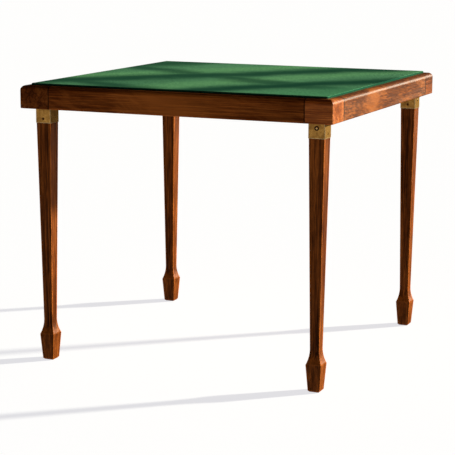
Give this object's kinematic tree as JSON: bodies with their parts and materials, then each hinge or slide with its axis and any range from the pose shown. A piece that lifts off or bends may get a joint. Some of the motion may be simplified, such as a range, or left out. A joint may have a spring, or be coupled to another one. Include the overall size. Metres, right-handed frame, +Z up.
{
  "type": "folding games table",
  "caption": "Square folding games table with a baize top, a rounded wooden apron and tapered spade-foot legs that fold up inside it on brass heads.",
  "frame": {"origin": "on the floor, under the middle of the top, with the legs unfolded", "axes": "+Z up, +X to the right, the front faces -Y"},
  "size_m": [0.83, 0.83, 0.718],
  "materials": {
    "rail_wood": "french polished, satin",
    "block_wood": "french polished, satin",
    "leg_wood": "french polished, satin",
    "dowel_wood": "plain turned beech",
    "panel_board": "plain laminated board",
    "baize": "short napped wool cloth",
    "brass": "aged, lightly brushed",
    "steel": "plain, dull"
  },
  "bodies": {
    "frame": {"front_rail": "rail_wood", "right_rail": "rail_wood", "back_rail": "rail_wood", "left_rail": "rail_wood", "top_panel": "panel_board", "baize": "baize", "rail_dowels": "dowel_wood", "panel_screws": "steel", "keeper_screws": "brass", "pivot_pins": "steel", "corner_block_front_right": "block_wood", "keeper_plate_front_right": "brass", "corner_block_back_right": "block_wood", "keeper_plate_back_right": "brass", "corner_block_back_left": "block_wood", "keeper_plate_back_left": "brass", "corner_block_front_left": "block_wood", "keeper_plate_front_left": "brass"},
    "leg_front_right": {"leg_front_right": "leg_wood", "leg_cap_front_right": "brass", "cap_screws_front_right": "brass"},
    "catch_front_right": {"catch_leaf_front_right": "steel", "catch_button_front_right": "brass", "catch_nose_front_right": "steel"},
    "leg_back_right": {"leg_back_right": "leg_wood", "leg_cap_back_right": "brass", "cap_screws_back_right": "brass"},
    "catch_back_right": {"catch_leaf_back_right": "steel", "catch_button_back_right": "brass", "catch_nose_back_right": "steel"},
    "leg_back_left": {"leg_back_left": "leg_wood", "leg_cap_back_left": "brass", "cap_screws_back_left": "brass"},
    "catch_back_left": {"catch_leaf_back_left": "steel", "catch_button_back_left": "brass", "catch_nose_back_left": "steel"},
    "leg_front_left": {"leg_front_left": "leg_wood", "leg_cap_front_left": "brass", "cap_screws_front_left": "brass"},
    "catch_front_left": {"catch_leaf_front_left": "steel", "catch_button_front_left": "brass", "catch_nose_front_left": "steel"}
  },
  "joints": [
    {"name": "leg_fold_front_right", "type": "hinge", "parent": "frame", "child": "leg_front_right", "pos_m": [0.36595, -0.36595, 0.67695], "axis": [0, 1, 0], "range_deg": [0, 90]},
    {"name": "catch_press_front_right", "type": "hinge", "parent": "leg_front_right", "child": "catch_front_right", "pos_m": [0.36595, -0.38505, 0.62055], "axis": [-1, 0, 0], "range_deg": [0, 4], "stiffness_Nm_per_rad": 2},
    {"name": "leg_fold_back_right", "type": "hinge", "parent": "frame", "child": "leg_back_right", "pos_m": [0.36595, 0.36595, 0.67695], "axis": [-1, 0, 0], "range_deg": [0, 90]},
    {"name": "catch_press_back_right", "type": "hinge", "parent": "leg_back_right", "child": "catch_back_right", "pos_m": [0.38505, 0.36595, 0.62055], "axis": [0, -1, 0], "range_deg": [0, 4], "stiffness_Nm_per_rad": 2},
    {"name": "leg_fold_back_left", "type": "hinge", "parent": "frame", "child": "leg_back_left", "pos_m": [-0.36595, 0.36595, 0.67695], "axis": [0, -1, 0], "range_deg": [0, 90]},
    {"name": "catch_press_back_left", "type": "hinge", "parent": "leg_back_left", "child": "catch_back_left", "pos_m": [-0.36595, 0.38505, 0.62055], "axis": [1, 0, 0], "range_deg": [0, 4], "stiffness_Nm_per_rad": 2},
    {"name": "leg_fold_front_left", "type": "hinge", "parent": "frame", "child": "leg_front_left", "pos_m": [-0.36595, -0.36595, 0.67695], "axis": [1, 0, 0], "range_deg": [0, 90]},
    {"name": "catch_press_front_left", "type": "hinge", "parent": "leg_front_left", "child": "catch_front_left", "pos_m": [-0.38505, -0.36595, 0.62055], "axis": [0, 1, 0], "range_deg": [0, 4], "stiffness_Nm_per_rad": 2}
  ]
}
